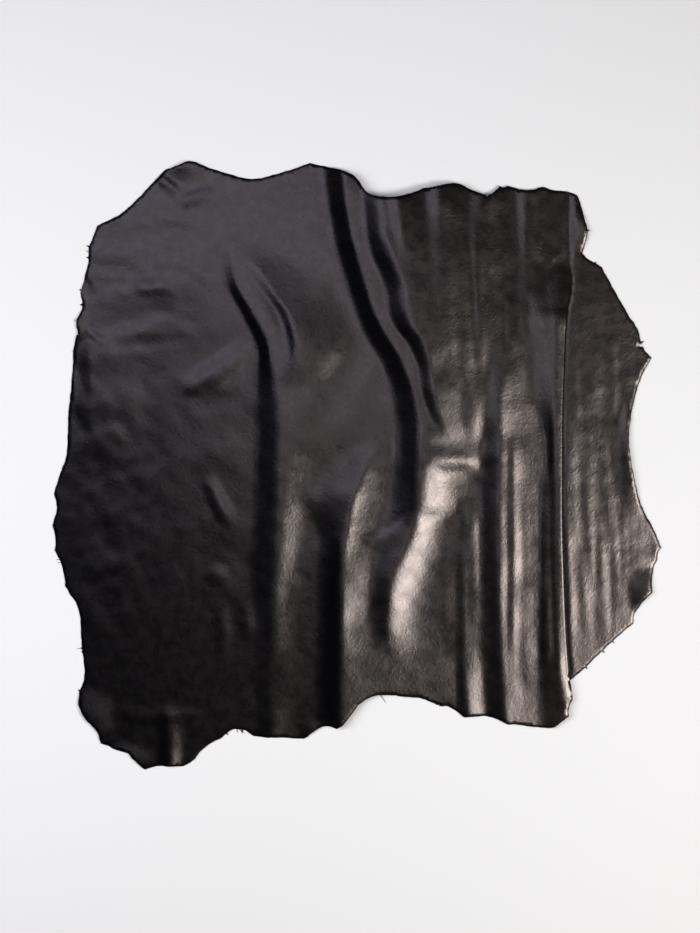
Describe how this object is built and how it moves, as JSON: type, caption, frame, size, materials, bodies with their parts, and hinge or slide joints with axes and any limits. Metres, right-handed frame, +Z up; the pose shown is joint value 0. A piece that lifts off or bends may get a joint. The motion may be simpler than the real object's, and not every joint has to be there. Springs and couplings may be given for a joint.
{
  "type": "leather hide",
  "caption": "Whole black leather hide lying flat in long soft folds, with scalloped cut edges and a pleat rolled over near its right side.",
  "frame": {"origin": "middle of the hide's bounding box seen from above, at the surface it lies on", "axes": "+Z up from the surface, +Y towards the neck edge, +X towards the wing that comes out from under the pleat"},
  "size_m": [1.0092, 1.0082, 0.0234],
  "materials": {
    "hide": "black dyed full grain with a soft wax sheen, cut edges left raw"
  },
  "bodies": {
    "root": {"hide": "hide"}
  },
  "joints": []
}
